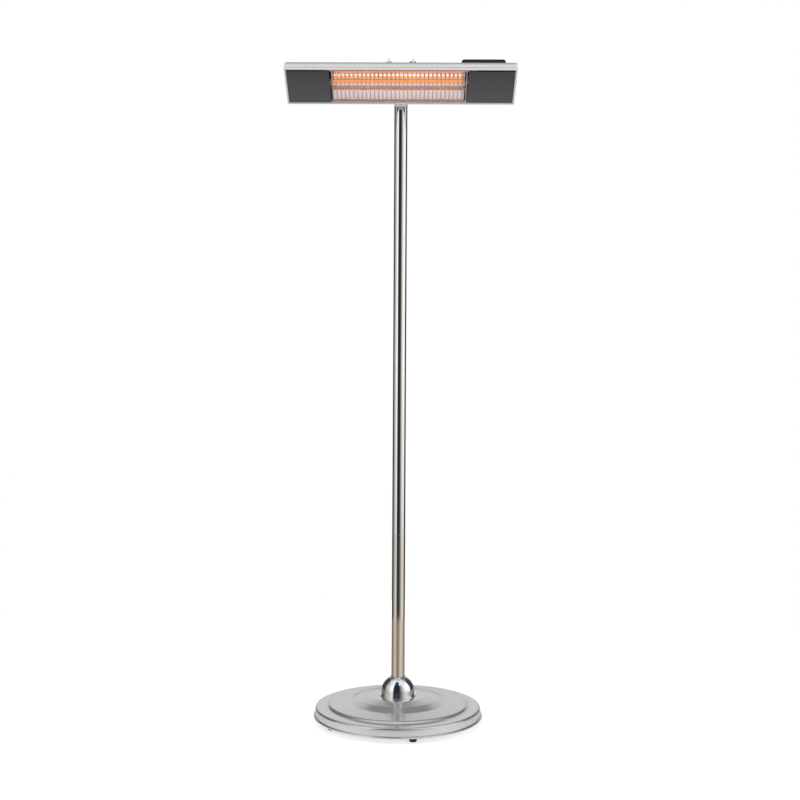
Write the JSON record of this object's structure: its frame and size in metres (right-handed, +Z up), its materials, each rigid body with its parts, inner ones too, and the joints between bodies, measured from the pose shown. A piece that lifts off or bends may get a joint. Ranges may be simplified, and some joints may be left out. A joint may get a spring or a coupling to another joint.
{
  "type": "free-standing infrared patio heater",
  "caption": "Tall outdoor heater: a weighted stepped disc base, a polished sectional pole and a tilting head with a slotted guard over a glowing tube lamp and reflector",
  "frame": {"origin": "on the floor under the pole's axis, at the middle of the base", "axes": "+Z up along the pole, the lit face looks towards -Y and down, +X to the right of the face"},
  "size_m": [0.67, 0.505, 1.9697],
  "materials": {
    "brushed_cover": "spun and brushed sheet",
    "concrete": "cast",
    "plain_steel": "mill finish",
    "rubber_black": "moulded",
    "zinc_steel": "zinc plated",
    "polished_dome": "polished",
    "polished_pole": "polished tube",
    "black_plastic": "fine moulded grain",
    "bracket_silver": "satin silver paint",
    "nylon": "moulded",
    "silver_housing": "satin extrusion",
    "silver_cap": "satin silver paint",
    "dark_panel": "satin dark grey paint",
    "bright_guard": "bright punched sheet",
    "bright_reflector": "polished sheet",
    "quartz": "gold tinted quartz",
    "glowing_element": "glowing",
    "white_ceramic": "unglazed",
    "silicone_lead": "silicone",
    "circuit_board": "solder mask",
    "brass_post": "turned",
    "switch_case": "moulded",
    "switch_rocker": "moulded"
  },
  "bodies": {
    "stand": {"base_cover": "brushed_cover", "base_weight": "concrete", "base_plate": "plain_steel", "pole_socket": "plain_steel", "rubber_feet": "rubber_black", "foot_studs": "zinc_steel", "socket_bolts": "zinc_steel", "socket_nuts": "zinc_steel", "bracket_bolts": "zinc_steel", "bracket_nuts": "zinc_steel", "tilt_bolts": "zinc_steel", "tilt_nuts": "zinc_steel", "base_dome": "polished_dome", "pole_lower": "polished_pole", "pole_lower_middle": "polished_pole", "pole_upper_middle": "polished_pole", "pole_upper": "polished_pole", "pole_plug": "black_plastic", "pole_saddle": "black_plastic", "pole_bracket": "bracket_silver", "tilt_washers": "nylon"},
    "head": {"head_housing": "silver_housing", "end_cap_left": "silver_cap", "end_cap_right": "silver_cap", "end_cap_screws": "zinc_steel", "front_panel_left": "dark_panel", "front_panel_right": "dark_panel", "lamp_guard": "bright_guard", "reflector": "bright_reflector", "partition_left": "plain_steel", "partition_right": "plain_steel", "lamp_tube": "quartz", "lamp_filament": "glowing_element", "lamp_sleeves": "white_ceramic", "lamp_clips": "plain_steel", "lamp_leads": "silicone_lead", "head_bracket": "bracket_silver", "head_bracket_screws": "zinc_steel", "control_box": "black_plastic", "box_gasket": "rubber_black", "box_screws": "zinc_steel", "terminal_block": "white_ceramic", "control_board": "circuit_board", "board_standoffs": "brass_post", "tip_switch": "switch_case", "cable_gland": "black_plastic", "gland_seal": "rubber_black", "gland_cap": "black_plastic", "gland_locknut": "black_plastic", "switch_frame": "switch_case"},
    "rocker": {"switch_rocker": "switch_rocker"}
  },
  "joints": [
    {"name": "head_tilt", "type": "hinge", "parent": "stand", "child": "head", "pos_m": [0, -0.0578, 1.9547], "axis": [1, 0, 0], "range_deg": [-59, 5]},
    {"name": "power_rocker", "type": "hinge", "parent": "head", "child": "rocker", "pos_m": [0.277, -0.04694, 1.90968], "axis": [0, 0.515, 0.8572], "range_deg": [0, 20]}
  ]
}
